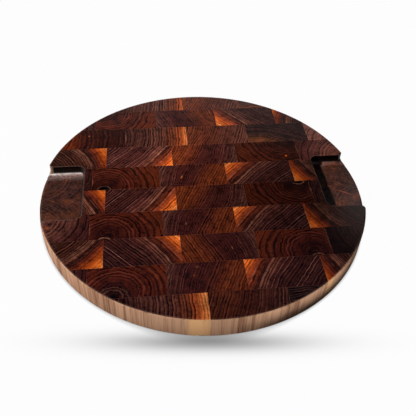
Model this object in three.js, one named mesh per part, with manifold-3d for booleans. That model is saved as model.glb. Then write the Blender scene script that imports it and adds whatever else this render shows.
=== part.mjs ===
// Round end-grain serving board: a glued disc of wooden blocks with a finger pocket at each side.
// Millimetres, +Z up. The origin is the middle of the underside, and the rows of blocks run along X.
// Boards are glued edge to edge into two panels, the panels are sawn into strips, the strips are
// stood on end and glued side by side, and the slab is then turned round, milled and eased.

import * as THREE from 'three';
import { mergeVertices } from 'three/addons/utils/BufferGeometryUtils.js';
import Module from 'manifold-3d';

const wasm = await Module();
wasm.setup();

// Disc
const BOARD_DIAMETER = 406;
const BOARD_THICKNESS = 28.5;
const RIM_EASING = 2; // radius of the rim's top and bottom edges

// Strips, which are the rows of blocks
const STRIP_WIDTH = 41.7;
const GLUE_LINE = 0.15; // thickness of every glue joint

// Boards of the first panel, from its left joint to its right one; the outer two run past the rim
const PANEL_A_FIRST_JOINT = -122.2;
const BOARD_B_WIDTH = 86.5;
const BOARD_C_WIDTH = 86.1;
const BOARD_D_WIDTH = 84.8;

// Boards of the second panel
const PANEL_B_FIRST_JOINT = -97.2;
const BOARD_G_WIDTH = 84.4;
const BOARD_H_WIDTH = 85.0;
const BOARD_I_WIDTH = 84.0;

// A strip turned end for end was clamped up this far along its row
const TURNED_STRIP_SHIFT = -3.8;

// Finger pockets, milled into the top face and open at the rim
const POCKET_WIDTH = 98;
const POCKET_REACH = 53.5; // from the rim in to the end wall
const POCKET_DEPTH = 12.5;
const POCKET_CORNER_RADIUS = 9.5; // plan radius of the two inner corners
const POCKET_MOUTH_RADIUS = 6; // plan radius where the side walls run out at the rim
const POCKET_COVE = 4; // radius between the floor and the walls
const POCKET_EDGE_EASING = 1; // radius of the top edge all round

// Fineness of the curved surfaces
const RIM_SEGMENTS = 180;
const EASING_STEPS = 4;
const CORNER_STEPS = 8;

// How far cutting bodies run past the surfaces that they cut
const OVERRUN = 5;

const RADIUS = BOARD_DIAMETER / 2;
const ROW_PITCH = STRIP_WIDTH + GLUE_LINE;
const ROWS_EACH_SIDE = Math.ceil(RADIUS / ROW_PITCH);

// Colour of the oiled end grain of each board, and how much the finish shines
const BOARD_COLOURS = {
  a: 0x3c1c14, b: 0x35191a, c: 0x3b1a12, d: 0x3a1710, e: 0x331814,
  f: 0x3d2015, g: 0x3a1b16, h: 0x3b1c16, i: 0x2a1214, j: 0x401d14,
};
const OILED_WOOD_ROUGHNESS = 0.48;

const PANEL_A = {
  boards: ['a', 'b', 'c', 'd', 'e'],
  joints: jointLines(PANEL_A_FIRST_JOINT, [BOARD_B_WIDTH, BOARD_C_WIDTH, BOARD_D_WIDTH]),
};
const PANEL_B = {
  boards: ['f', 'g', 'h', 'i', 'j'],
  joints: jointLines(PANEL_B_FIRST_JOINT, [BOARD_G_WIDTH, BOARD_H_WIDTH, BOARD_I_WIDTH]),
};

// The strips as they were laid, from the middle of the board to the back and to the front
const BACK_STRIPS = [
  { panel: PANEL_A, turned: true },
  { panel: PANEL_A, turned: false },
  { panel: PANEL_B, turned: false },
  { panel: PANEL_A, turned: true },
  { panel: PANEL_B, turned: false },
];
const FRONT_STRIPS = [
  { panel: PANEL_A, turned: false },
  { panel: PANEL_A, turned: true },
  { panel: PANEL_A, turned: false },
  { panel: PANEL_A, turned: true },
  { panel: PANEL_B, turned: false },
];

// Joint positions along a strip, from the first one and the widths of the boards after it.
function jointLines(first, widths) {
  const joints = [first];
  for (const width of widths) {
    joints.push(joints.at(-1) + width);
  }
  return joints;
}

// Closed geometry as a solid that can be joined and cut.
function solidFrom(geometry) {
  geometry.deleteAttribute('normal');
  geometry.deleteAttribute('uv');
  const merged = mergeVertices(geometry);
  const index = merged.index.array;
  const triangles = [];
  for (let i = 0; i < index.length; i += 3) {
    const [a, b, c] = index.subarray(i, i + 3);
    // Triangles that shrink to a line on the axis of a revolved shape are left out.
    if (a !== b && b !== c && c !== a) {
      triangles.push(a, b, c);
    }
  }
  return new wasm.Manifold(new wasm.Mesh({
    numProp: 3,
    vertProperties: new Float32Array(merged.attributes.position.array),
    triVerts: new Uint32Array(triangles),
  }));
}

// Solid back as a geometry for a mesh.
function geometryFrom(solid) {
  const mesh = solid.getMesh();
  const geometry = new THREE.BufferGeometry();
  geometry.setAttribute('position', new THREE.BufferAttribute(mesh.vertProperties, mesh.numProp));
  geometry.setIndex(new THREE.BufferAttribute(mesh.triVerts, 1));
  geometry.computeVertexNormals();
  return geometry;
}

// Points of a circular arc in a plane, both ends included.
function arc(centreX, centreY, radius, startAngle, endAngle, steps) {
  const points = [];
  for (let i = 0; i <= steps; i += 1) {
    const angle = THREE.MathUtils.lerp(startAngle, endAngle, i / steps);
    points.push(new THREE.Vector2(
      centreX + radius * Math.cos(angle),
      centreY + radius * Math.sin(angle),
    ));
  }
  return points;
}

// Disc with eased edges, revolved about Z.
function makeDisc() {
  const inner = RADIUS - RIM_EASING;
  const profile = [
    new THREE.Vector2(0, 0),
    ...arc(inner, RIM_EASING, RIM_EASING, -Math.PI / 2, 0, EASING_STEPS),
    ...arc(inner, BOARD_THICKNESS - RIM_EASING, RIM_EASING, 0, Math.PI / 2, EASING_STEPS),
    new THREE.Vector2(0, BOARD_THICKNESS),
  ];
  return solidFrom(new THREE.LatheGeometry(profile, RIM_SEGMENTS).rotateX(Math.PI / 2));
}

// Plan of the right-hand pocket, anticlockwise, grown outwards by an offset.
// The mouth arcs touch the rim, and the outline then runs out past it.
function pocketOutline(offset) {
  const halfWidth = POCKET_WIDTH / 2;
  const cornerX = RADIUS - POCKET_REACH + POCKET_CORNER_RADIUS;
  const cornerY = halfWidth - POCKET_CORNER_RADIUS;
  const cornerRadius = POCKET_CORNER_RADIUS + offset;
  const mouthY = halfWidth + POCKET_MOUTH_RADIUS;
  const mouthX = Math.sqrt((RADIUS - POCKET_MOUTH_RADIUS) ** 2 - mouthY ** 2);
  const mouthAngle = Math.atan2(mouthY, mouthX);
  const mouthRadius = POCKET_MOUTH_RADIUS - offset;
  const outerX = RADIUS + OVERRUN;
  const outerY = outerX * Math.tan(mouthAngle);
  const quarter = Math.PI / 2;
  return [
    new THREE.Vector2(outerX, -outerY),
    new THREE.Vector2(outerX, outerY),
    ...arc(mouthX, mouthY, mouthRadius, mouthAngle, -quarter, CORNER_STEPS),
    ...arc(cornerX, cornerY, cornerRadius, quarter, 2 * quarter, CORNER_STEPS),
    ...arc(cornerX, -cornerY, cornerRadius, 2 * quarter, 3 * quarter, CORNER_STEPS),
    ...arc(mouthX, -mouthY, mouthRadius, quarter, -mouthAngle, CORNER_STEPS),
  ];
}

// Heights and offsets of the pocket's walls: up the cove, up the wall, out over the eased edge.
function pocketProfile() {
  const floor = BOARD_THICKNESS - POCKET_DEPTH;
  const quarter = Math.PI / 2;
  const cove = arc(-POCKET_COVE, floor + POCKET_COVE, POCKET_COVE, -quarter, 0, EASING_STEPS);
  const easing = arc(
    POCKET_EDGE_EASING,
    BOARD_THICKNESS - POCKET_EDGE_EASING,
    POCKET_EDGE_EASING,
    2 * quarter,
    quarter,
    EASING_STEPS,
  );
  return [...cove, ...easing, new THREE.Vector2(POCKET_EDGE_EASING, BOARD_THICKNESS + OVERRUN)];
}

// Solid lofted through outlines that all have the same number of points.
function loft(outlines, heights) {
  const count = outlines[0].length;
  const positions = [];
  outlines.forEach((outline, level) => {
    outline.forEach((point) => positions.push(point.x, point.y, heights[level]));
  });
  const index = [];
  for (let level = 0; level + 1 < outlines.length; level += 1) {
    for (let i = 0; i < count; i += 1) {
      const next = (i + 1) % count;
      const low = level * count;
      const high = low + count;
      index.push(low + i, low + next, high + next);
      index.push(low + i, high + next, high + i);
    }
  }
  const top = (outlines.length - 1) * count;
  for (const [a, b, c] of THREE.ShapeUtils.triangulateShape(outlines[0], [])) {
    index.push(c, b, a);
  }
  for (const [a, b, c] of THREE.ShapeUtils.triangulateShape(outlines.at(-1), [])) {
    index.push(top + a, top + b, top + c);
  }
  const geometry = new THREE.BufferGeometry();
  geometry.setAttribute('position', new THREE.Float32BufferAttribute(positions, 3));
  geometry.setIndex(index);
  return geometry;
}

// Cutting body of one finger pocket, turned about Z to its side of the board.
function makePocketCutter(turn) {
  const profile = pocketProfile();
  const outlines = profile.map((point) => pocketOutline(point.x));
  const heights = profile.map((point) => point.y);
  return solidFrom(loft(outlines, heights).rotateZ(turn));
}

// Boards and joints of a strip from left to right; a turned strip has them the other way about.
function laidStrip(strip) {
  const { boards, joints } = strip.panel;
  if (strip.turned) {
    return {
      boards: boards.toReversed(),
      joints: joints.map((joint) => TURNED_STRIP_SHIFT - joint).toReversed(),
    };
  }
  return { boards, joints };
}

// Rough block as sawn: one board's stretch of one strip, with half a glue line off each side.
function makeRoughBlock(left, right, rowCentre) {
  const height = BOARD_THICKNESS + 2 * OVERRUN;
  const box = new THREE.BoxGeometry(right - left - GLUE_LINE, STRIP_WIDTH, height);
  return solidFrom(box.translate((left + right) / 2, rowCentre, BOARD_THICKNESS / 2));
}

// Oiled wood of one board; every block has a material of its own.
function oiledWood(board) {
  return new THREE.MeshStandardMaterial({
    color: BOARD_COLOURS[board],
    roughness: OILED_WOOD_ROUGHNESS,
    metalness: 0,
  });
}

// One row of blocks, cut from the finished slab; a board that lies past the rim gives no block.
function makeRow(slab, strip, rowName, rowCentre) {
  const { boards, joints } = laidStrip(strip);
  const ends = [-RADIUS - OVERRUN, ...joints, RADIUS + OVERRUN];
  const row = new THREE.Group();
  boards.forEach((board, place) => {
    const block = slab.intersect(makeRoughBlock(ends[place], ends[place + 1], rowCentre));
    if (!block.isEmpty()) {
      const mesh = new THREE.Mesh(geometryFrom(block), oiledWood(board));
      mesh.name = `${rowName}_block_${board}`;
      row.add(mesh);
    }
  });
  return row;
}

const slab = makeDisc()
  .subtract(makePocketCutter(0))
  .subtract(makePocketCutter(Math.PI));

// Rows are numbered from the middle outwards, so a wider board gains rows at its back and front.
const servingBoard = new THREE.Group();
for (let number = 1; number <= ROWS_EACH_SIDE; number += 1) {
  const place = (number - 1) % BACK_STRIPS.length;
  const distance = (number - 0.5) * ROW_PITCH;
  servingBoard.add(makeRow(slab, BACK_STRIPS[place], `back_row${number}`, distance));
  servingBoard.add(makeRow(slab, FRONT_STRIPS[place], `front_row${number}`, -distance));
}

export default servingBoard;
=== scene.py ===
"""Looks of a round end-grain serving board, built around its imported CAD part.

The slab is modelled once, as a turned blank with two milled finger pockets, and is then sawn into the
blocks of the CAD part. Every block keeps the coordinates that it had in the board it was sawn from, so
that rings, sapwood and marks run through it as they do through real wood.
Sizes are in millimetres, and become the frame's metres where a mesh is made.
"""

from __future__ import annotations

import logging
import math
from collections.abc import Callable, Iterator
from contextlib import contextmanager
from dataclasses import dataclass, field
from enum import Enum

import bmesh
import bpy
from mathutils import Matrix, Vector

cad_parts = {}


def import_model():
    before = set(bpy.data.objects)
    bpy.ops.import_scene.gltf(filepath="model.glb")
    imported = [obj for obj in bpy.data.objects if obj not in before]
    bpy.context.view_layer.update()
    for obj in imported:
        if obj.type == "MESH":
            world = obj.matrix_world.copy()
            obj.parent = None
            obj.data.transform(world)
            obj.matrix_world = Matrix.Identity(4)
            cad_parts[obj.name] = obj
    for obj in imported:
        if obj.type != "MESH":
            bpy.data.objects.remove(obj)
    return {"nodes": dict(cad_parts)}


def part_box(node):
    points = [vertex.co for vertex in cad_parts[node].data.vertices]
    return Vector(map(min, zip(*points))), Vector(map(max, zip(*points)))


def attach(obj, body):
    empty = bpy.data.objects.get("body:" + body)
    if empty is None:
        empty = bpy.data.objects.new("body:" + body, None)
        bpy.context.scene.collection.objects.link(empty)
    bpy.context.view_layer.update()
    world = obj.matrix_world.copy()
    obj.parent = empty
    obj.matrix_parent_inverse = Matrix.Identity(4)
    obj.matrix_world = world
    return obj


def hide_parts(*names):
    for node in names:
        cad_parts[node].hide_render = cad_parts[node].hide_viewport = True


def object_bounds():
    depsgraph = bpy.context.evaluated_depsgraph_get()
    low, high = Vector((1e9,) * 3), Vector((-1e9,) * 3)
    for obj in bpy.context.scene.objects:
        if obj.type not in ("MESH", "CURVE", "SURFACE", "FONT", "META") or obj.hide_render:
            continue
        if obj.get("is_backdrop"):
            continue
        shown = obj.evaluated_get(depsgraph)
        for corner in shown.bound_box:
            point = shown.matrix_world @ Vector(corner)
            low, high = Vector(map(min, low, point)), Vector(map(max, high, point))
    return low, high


MM = 0.001
NEAR = 0.02  # how close to a place an element lies when it is picked there, in millimetres
BODY = "root"

# Names of what each block's mesh tells its wood
GRAIN = "grain"
PITH = "pith"
MILLED = "milled"

log = logging.getLogger("serving_board")


class Element(Enum):
    """What an edit-mode step works on."""

    VERTS = "VERT"
    EDGES = "EDGE"


def make_active(piece: bpy.types.Object) -> None:
    """Selects one object alone and makes it the active one."""
    bpy.ops.object.select_all(action="DESELECT")
    piece.select_set(True)
    bpy.context.view_layer.objects.active = piece


@contextmanager
def editing(piece: bpy.types.Object) -> Iterator[None]:
    """Keeps one object in edit mode for a block of code.

    Args:
        piece: The object to edit.
    """
    make_active(piece)
    bpy.ops.object.mode_set(mode="EDIT")
    yield
    bpy.ops.object.mode_set(mode="OBJECT")


def pick(piece: bpy.types.Object, element: Element, test: Callable[..., bool]) -> None:
    """Selects the elements of an edited mesh that pass a test.

    Args:
        piece: The object in edit mode.
        element: What to select.
        test: Says of one element whether it is selected.
    """
    bpy.ops.mesh.select_mode(type=element.value)
    bpy.ops.mesh.select_all(action="DESELECT")
    form = bmesh.from_edit_mesh(piece.data)
    form.normal_update()
    for item in form.verts if element is Element.VERTS else form.edges:
        if test(item):
            item.select_set(True)
    form.select_flush_mode()
    bmesh.update_edit_mesh(piece.data)


def is_at(
    vert: bmesh.types.BMVert, x: float | None = None, y: float | None = None, z: float | None = None
) -> bool:
    """Says whether a vertex lies at the coordinates that are given in millimetres; None means any."""
    pairs = zip(vert.co, (x, y, z))
    return all(wanted is None or abs(have / MM - wanted) < NEAR for have, wanted in pairs)


def apply_modifier(piece: bpy.types.Object, kind: str, **settings: object) -> None:
    """Adds a modifier to an object and applies it.

    Args:
        piece: The object.
        kind: The modifier's type.
        **settings: The modifier's settings.
    """
    make_active(piece)
    modifier = piece.modifiers.new(kind.lower(), kind)
    for name, value in settings.items():
        setattr(modifier, name, value)
    bpy.ops.object.modifier_apply(modifier=modifier.name)


def apply_transform() -> None:
    """Applies the selected object's place, turn and scale to its mesh."""
    bpy.ops.object.transform_apply(location=True, rotation=True, scale=True)


def face_outwards() -> None:
    """Turns all faces of the edited mesh to look outwards."""
    bpy.ops.mesh.select_all(action="SELECT")
    bpy.ops.mesh.normals_make_consistent(inside=False)


@dataclass
class FingerPocket:
    """A finger pocket milled into the top face and open at the rim."""

    radius: float  # of the board
    thickness: float  # of the board
    width: float = 98.0
    reach: float = 53.5  # from the rim in to the end wall
    depth: float = 12.5
    corner_radius: float = 9.5
    mouth_radius: float = 6.0
    cove_radius: float = 4.0
    edge_easing: float = 1.0
    lip_easing: float = 0.8
    corner_steps: int = 10
    cove_steps: int = 6
    easing_steps: int = 4
    lip_steps: int = 3
    mouth_angle_short: float = math.radians(20)  # the mouth's arc stops this short of touching the rim
    run_out: float = 14.0  # length of the straight runs past the mouth, outside the rim
    overrun: float = 5.0  # how far the cutting body runs past the slab
    cap_lift: float = 0.02  # keeps the cap off the slab's top face

    @property
    def floor(self) -> float:
        """Height of the pocket's floor."""
        return self.thickness - self.depth

    def cutter(self, turn: float) -> bpy.types.Object:
        """Models the body that cuts the pocket: its walls and floor under a cap that rounds the top edge.

        Args:
            turn: Angle about Z from the right-hand side to the pocket's own.

        Returns:
            The cutting body.
        """
        cap = self.thickness + self.cap_lift
        body = self._walls(cap + self.overrun / 2)
        lid = self._cap(cap)
        apply_modifier(body, "BOOLEAN", operation="UNION", solver="EXACT", object=lid)
        bpy.data.objects.remove(lid)
        with editing(body):
            pick(body, Element.EDGES, lambda e: self._is_wall_top(e, cap))
            bpy.ops.mesh.bevel(offset=self.edge_easing * MM, segments=self.easing_steps, affect="EDGES")
            face_outwards()
        body.rotation_euler.z = turn
        apply_transform()
        return body

    def _walls(self, top: float) -> bpy.types.Object:
        """Models the pocket's own space, with round corners, flared mouth and a cove at the floor.

        Args:
            top: Height that the walls run up to.

        Returns:
            The lower part of the cutting body.
        """
        floor = self.floor
        half = self.width / 2
        inner_x = self.radius - self.reach
        mouth_y = half + self.mouth_radius
        mouth_x = math.sqrt((self.radius - self.mouth_radius) ** 2 - mouth_y**2)
        end_angle = math.atan2(mouth_y, mouth_x) - self.mouth_angle_short
        outer_x = self.radius + self.overrun
        bpy.ops.object.select_all(action="DESELECT")
        bpy.ops.mesh.primitive_plane_add(size=1, location=((inner_x + mouth_x) / 2 * MM, 0, floor * MM))
        body = bpy.context.object
        body.scale = ((mouth_x - inner_x) * MM, self.width * MM, 1)
        apply_transform()
        with editing(body):
            pick(body, Element.VERTS, lambda v: is_at(v, x=inner_x))
            bpy.ops.mesh.bevel(offset=self.corner_radius * MM, segments=self.corner_steps, affect="VERTICES")
            for side in (1, -1):
                pick(body, Element.VERTS, lambda v: is_at(v, x=mouth_x, y=side * half))
                bpy.ops.mesh.spin(
                    steps=self.corner_steps,
                    angle=-side * (math.pi / 2 + end_angle),
                    center=(mouth_x * MM, side * mouth_y * MM, floor * MM),
                    axis=(0, 0, 1),
                )
                run_out = Vector((-math.sin(end_angle), side * math.cos(end_angle), 0)) * self.run_out * MM
                bpy.ops.mesh.extrude_region_move(TRANSFORM_OT_translate={"value": run_out})
                bpy.ops.mesh.extrude_region_move(TRANSFORM_OT_translate={"value": (self.run_out * MM, 0, 0)})
            pick(body, Element.VERTS, lambda v: v.co.x / MM > outer_x - NEAR)
            bpy.ops.mesh.edge_face_add()
            pick(body, Element.EDGES, lambda e: all(v.co.x / MM > mouth_x - NEAR for v in e.verts))
            bpy.ops.mesh.edge_face_add()
            pick(body, Element.EDGES, lambda e: len(e.link_faces) == 2)
            bpy.ops.mesh.dissolve_edges(use_verts=False)
            bpy.ops.mesh.select_all(action="SELECT")
            bpy.ops.mesh.extrude_region_move(TRANSFORM_OT_translate={"value": (0, 0, (top - floor) * MM)})
            pick(body, Element.EDGES, lambda e: all(is_at(v, z=floor) for v in e.verts))
            bpy.ops.mesh.bevel(offset=self.cove_radius * MM, segments=self.cove_steps, affect="EDGES")
            face_outwards()
        return body

    def _cap(self, height: float) -> bpy.types.Object:
        """Models the slab that lies over the pocket, from which its top edge is rounded.

        Args:
            height: Height of the slab's underside.

        Returns:
            The upper part of the cutting body.
        """
        length = self.reach + 2 * self.run_out + 2 * self.overrun
        centre_x = self.radius - self.reach - self.overrun + length / 2
        bpy.ops.object.select_all(action="DESELECT")
        bpy.ops.mesh.primitive_cube_add(size=1, location=(centre_x * MM, 0, (height + self.overrun / 2) * MM))
        lid = bpy.context.object
        lid.scale = (length * MM, (self.width + 4 * self.run_out) * MM, self.overrun * MM)
        apply_transform()
        return lid

    @staticmethod
    def _is_wall_top(edge: bmesh.types.BMEdge, height: float) -> bool:
        """Says whether an edge of the cutting body lies at a height, with a face of a wall below it."""
        below = any(face.calc_center_median().z / MM < height - NEAR for face in edge.link_faces)
        return below and all(is_at(v, z=height) for v in edge.verts)

    def is_lip(self, edge: bmesh.types.BMEdge) -> bool:
        """Says whether an edge is the sharp lip where the pocket's floor meets the rim.

        Args:
            edge: An edge of the milled blank.

        Returns:
            True where the edge follows the rim at the height of the floor, clear of the coved corners.
        """
        end = self.width / 2 - 2 * self.cove_radius
        on_rim = all(abs(v.co.xy.length / MM - self.radius) < 5 * NEAR for v in edge.verts)
        return on_rim and all(is_at(v, z=self.floor) and abs(v.co.y) / MM < end for v in edge.verts)

    def holds(self, place: Vector) -> bool:
        """Says whether a place on the blank lies on a surface that the cutter left.

        Args:
            place: The place in metres.

        Returns:
            True inside either pocket.
        """
        x, y, z = abs(place.x) / MM, abs(place.y) / MM, place.z / MM
        from_axis = place.xy.length / MM
        side = self.width / 2 + self.edge_easing
        if x > self.radius - self.reach + self.corner_radius:
            side += max(0.0, from_axis - self.radius + self.mouth_radius)
        in_plan = x > self.radius - self.reach - self.edge_easing and y < side
        return in_plan and self.floor - NEAR < z < self.thickness - NEAR and from_axis < self.radius - NEAR


@dataclass
class Blank:
    """The glued slab, turned round, eased at its rims and milled."""

    radius: float
    thickness: float
    rim_easing: float = 2.0
    rim_segments: int = 360
    easing_steps: int = 5
    weld: float = 0.002  # points that lie closer than this become one

    def build(self) -> bpy.types.Object:
        """Models the whole slab in one piece.

        Returns:
            The milled blank, which the blocks are sawn from.
        """
        bpy.ops.object.select_all(action="DESELECT")
        bpy.ops.mesh.primitive_cylinder_add(
            vertices=self.rim_segments,
            radius=self.radius * MM,
            depth=self.thickness * MM,
            location=(0, 0, self.thickness / 2 * MM),
        )
        blank = bpy.context.object
        blank.name = "blank"
        apply_transform()
        with editing(blank):
            pick(blank, Element.EDGES, self._is_rim_edge)
            bpy.ops.mesh.bevel(offset=self.rim_easing * MM, segments=self.easing_steps, affect="EDGES")
        pocket = FingerPocket(self.radius, self.thickness)
        for turn in (0, math.pi):
            cutter = pocket.cutter(turn)
            apply_modifier(blank, "BOOLEAN", operation="DIFFERENCE", solver="EXACT", object=cutter)
            bpy.data.objects.remove(cutter)
        with editing(blank):
            pick(blank, Element.EDGES, pocket.is_lip)
            bpy.ops.mesh.bevel(offset=pocket.lip_easing * MM, segments=pocket.lip_steps, affect="EDGES")
            bpy.ops.mesh.select_all(action="SELECT")
            bpy.ops.mesh.remove_doubles(threshold=self.weld * MM)
            face_outwards()
        self._mark_milled(blank, pocket)
        return blank

    @staticmethod
    def _is_rim_edge(edge: bmesh.types.BMEdge) -> bool:
        """Says whether an edge runs round the top or the bottom of the disc."""
        return abs(edge.verts[0].co.z - edge.verts[1].co.z) < NEAR * MM

    @staticmethod
    def _mark_milled(blank: bpy.types.Object, pocket: FingerPocket) -> None:
        """Notes on each face whether it is a milled surface of a pocket."""
        marks = blank.data.attributes.new(MILLED, "FLOAT", "FACE")
        for face in blank.data.polygons:
            marks.data[face.index].value = float(pocket.holds(face.center))


class Lie(Enum):
    """How a strip lies against the panel it was sawn from: the senses of its two directions in the row."""

    AS_GLUED = (1, 1)
    TURNED = (-1, -1)
    FLIPPED = (1, -1)
    TURNED_AND_FLIPPED = (-1, 1)


# Strips follow each other along the log by the slab's thickness and the saw's kerf
SAWN_PITCH = 32.0


@dataclass(frozen=True)
class Strip:
    """One strip of a panel: how it was laid, where along the log it was sawn, and how its blocks differ."""

    lie: Lie
    number: int  # its turn along the log
    tone: float  # how light the strip's blocks are made: partly the wood's own tone, partly painted light
    piths: dict[str, tuple[float, float]]  # where a board's pith has wandered to
    tones: dict[str, float] = field(default_factory=dict)  # of single blocks, against the strip's own
    floor_tones: dict[str, float] = field(default_factory=dict)  # of single blocks below their top face

    @property
    def along(self) -> float:
        """Place of the strip's underside along the log."""
        return self.number * SAWN_PITCH

    def tone_of(self, board: str, on_top: bool) -> float:
        """Finds how light the block of one board is, on its top face or below it."""
        tones = self.tones if on_top else {**self.tones, **self.floor_tones}
        return self.tone * tones.get(board, 1.0)


# Tones are partly the wood's own and partly painted light: the back rows are lighter where more light falls,
# back-right blocks lighter for their sheen, right-hand blocks darker where light falls off
STRIPS = {
    "back_row5": Strip(Lie.AS_GLUED, 0, 1.42, {"g": (-107.0, 3.0)}),
    "back_row4": Strip(Lie.TURNED_AND_FLIPPED, 1, 1.25, {"d": (70.8, 18.5)}),
    "back_row3": Strip(
        lie=Lie.AS_GLUED,
        number=2,
        tone=1.1,
        piths={"i": (-12.0, -141.0)},
        tones={"f": 0.68, "g": 0.93, "h": 1.12, "i": 0.88, "j": 1.25},
    ),
    "back_row2": Strip(
        lie=Lie.AS_GLUED,
        number=3,
        tone=1.3,
        piths={"a": (-114.1, -43.5), "b": (-153.9, 166.9), "d": (74.6, 27.0)},
        tones={"a": 0.53, "d": 0.68, "e": 2.0},
    ),
    "back_row1": Strip(
        lie=Lie.TURNED,
        number=4,
        tone=0.85,
        piths={"a": (-111.6, -48.6), "b": (-136.4, 194.6), "d": (69.8, 17.9)},
        tones={"c": 1.15, "e": 0.8},
        floor_tones={"a": 1.6, "e": 0.62},
    ),
    "front_row1": Strip(
        lie=Lie.AS_GLUED,
        number=5,
        tone=0.9,
        piths={"a": (-106.0, -52.0), "d": (69.6, 20.9)},
        tones={"a": 0.9, "b": 0.92, "c": 0.95, "d": 0.65, "e": 0.8},
        floor_tones={"a": 0.65, "e": 1.3},
    ),
    "front_row2": Strip(
        lie=Lie.TURNED,
        number=6,
        tone=0.9,
        piths={"a": (-110.5, -47.5), "b": (-140.0, 189.0), "d": (64.8, 21.2)},
        tones={"a": 0.8, "b": 0.88, "d": 0.95, "e": 1.2},
    ),
    "front_row3": Strip(
        lie=Lie.FLIPPED,
        number=7,
        tone=0.9,
        piths={"a": (-96.9, -69.5), "b": (-157.6, 168.2), "d": (64.6, 17.4)},
        tones={"a": 0.92, "b": 0.88, "d": 1.2, "e": 0.4},
    ),
    "front_row4": Strip(
        lie=Lie.TURNED,
        number=8,
        tone=1.05,
        piths={"a": (-109.3, -43.3), "b": (-169.0, 147.0), "d": (55.8, 18.5)},
        tones={"b": 1.08, "d": 1.12},
    ),
    "front_row5": Strip(
        lie=Lie.AS_GLUED,
        number=9,
        tone=0.95,
        piths={"g": (-117.0, 3.0)},
        tones={"g": 1.07, "h": 0.72, "i": 0.85},
    ),
}

FIRST_BOARDS = "af"  # the left-hand board of each panel, which is measured from its right-hand joint


@dataclass
class Row:
    """One row of blocks of the CAD part, with the boxes that they fill in the frame."""

    name: str
    boxes: dict[str, tuple[Vector, Vector]]
    strip_width: float  # in metres, as all that is read from the frame

    def datum(self, board: str) -> float:
        """Finds the joint that a board's own coordinates are measured from.

        Args:
            board: The board's letter.

        Returns:
            X of the joint in metres.
        """
        step = 1 if board in FIRST_BOARDS else -1
        low, high = self.boxes[board]
        next_low, next_high = self.boxes[chr(ord(board) + step)]
        if next_low.x > low.x:
            return (high.x + next_low.x) / 2
        return (next_high.x + low.x) / 2

    def centre_line(self) -> float:
        """Finds Y of the strip's centre line in metres, from the side that lies nearer the middle."""
        lowest = min(low.y for low, _ in self.boxes.values())
        highest = max(high.y for _, high in self.boxes.values())
        if lowest + highest > 0:
            return lowest + self.strip_width / 2
        return highest - self.strip_width / 2

    def sides(self, board: str, radius: float) -> list[tuple[int, int, float]]:
        """Lists the joints that bound a block; the rim bounds it elsewhere.

        Args:
            board: The board's letter.
            radius: Radius of the board in metres.

        Returns:
            For each joint its axis, the sense that points out of the block, and its place on the axis.
        """
        order = sorted(self.boxes, key=lambda letter: self.boxes[letter][0].x)
        low, high = self.boxes[board]
        found = []
        if board != order[0]:
            found.append((0, -1, low.x))
        if board != order[-1]:
            found.append((0, 1, high.x))
        half = self.strip_width / 2
        for sense in (-1, 1):
            side = self.centre_line() + sense * half
            if abs(side) < radius:
                found.append((1, sense, side))
        return found


@dataclass
class Block:
    """One block of the board, sawn from the blank where the CAD part has its node."""

    row: Row
    board: str
    strip: Strip
    pith: tuple[float, float]
    smooth_angle: float = math.radians(35)

    @property
    def node(self) -> str:
        """Name of the CAD part's own node."""
        return f"{self.row.name}_block_{self.board}"

    def build(self, blank: bpy.types.Object, radius: float) -> bpy.types.Object:
        """Saws the block out of a copy of the blank and tells its mesh how its wood lies.

        Args:
            blank: The milled blank.
            radius: Radius of the board in millimetres.

        Returns:
            The block.
        """
        make_active(blank)
        bpy.ops.object.duplicate(linked=False)
        block = bpy.context.object
        block.name = f"{self.row.name}_wood_{self.board}"
        block.data.name = block.name
        with editing(block):
            for axis, sense, place in self.row.sides(self.board, radius * MM):
                across = Vector((0, 0, 0))
                across[axis] = 1
                bpy.ops.mesh.select_all(action="SELECT")
                bpy.ops.mesh.bisect(
                    plane_co=across * place, plane_no=across * sense, use_fill=True, clear_outer=True
                )
            face_outwards()
        bpy.ops.object.shade_smooth_by_angle(angle=self.smooth_angle)
        apply_modifier(block, "WEIGHTED_NORMAL", keep_sharp=True)
        self._tell_grain(block)
        return block

    def dress(self, piece: bpy.types.Object, wood: bpy.types.Material) -> None:
        """Gives the block its wood, hangs it on the body, and hides the CAD node that it stands for.

        Args:
            piece: The block.
            wood: Material of its board.
        """
        piece.data.materials.clear()
        piece.data.materials.append(wood)
        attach(piece, BODY)
        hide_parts(self.node)

    def _tell_grain(self, block: bpy.types.Object) -> None:
        """Writes each vertex's place in its board, and the pith's with the tone, to the mesh."""
        along_row, across = self.strip.lie.value
        datum, centre = self.row.datum(self.board), self.row.centre_line()
        grain = block.data.attributes.new(GRAIN, "FLOAT_VECTOR", "POINT")
        pith = block.data.attributes.new(PITH, "FLOAT_VECTOR", "POINT")
        top = self.row.boxes[self.board][1].z
        for vert in block.data.vertices:
            u = along_row * (vert.co.x - datum) / MM
            v = across * (vert.co.y - centre) / MM
            tone = self.strip.tone_of(self.board, vert.co.z > top - NEAR * MM)
            grain.data[vert.index].vector = (u, v, self.strip.along + vert.co.z / MM)
            pith.data[vert.index].vector = (*self.pith, tone)


def math_node(operation: str, swapped: bool = False) -> Callable[..., Value]:
    """Makes a method of Value that adds one Math node.

    Args:
        operation: What the node works out.
        swapped: Whether the other value comes first.

    Returns:
        The method, which takes the other value where there is one.
    """

    def method(self: Value, other: Value | float = 0.0) -> Value:
        """Adds the Math node."""
        first, second = (other, self) if swapped else (self, other)
        return self.nodes.add("ShaderNodeMath", {"operation": operation}, {0: first, 1: second})

    return method


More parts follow.
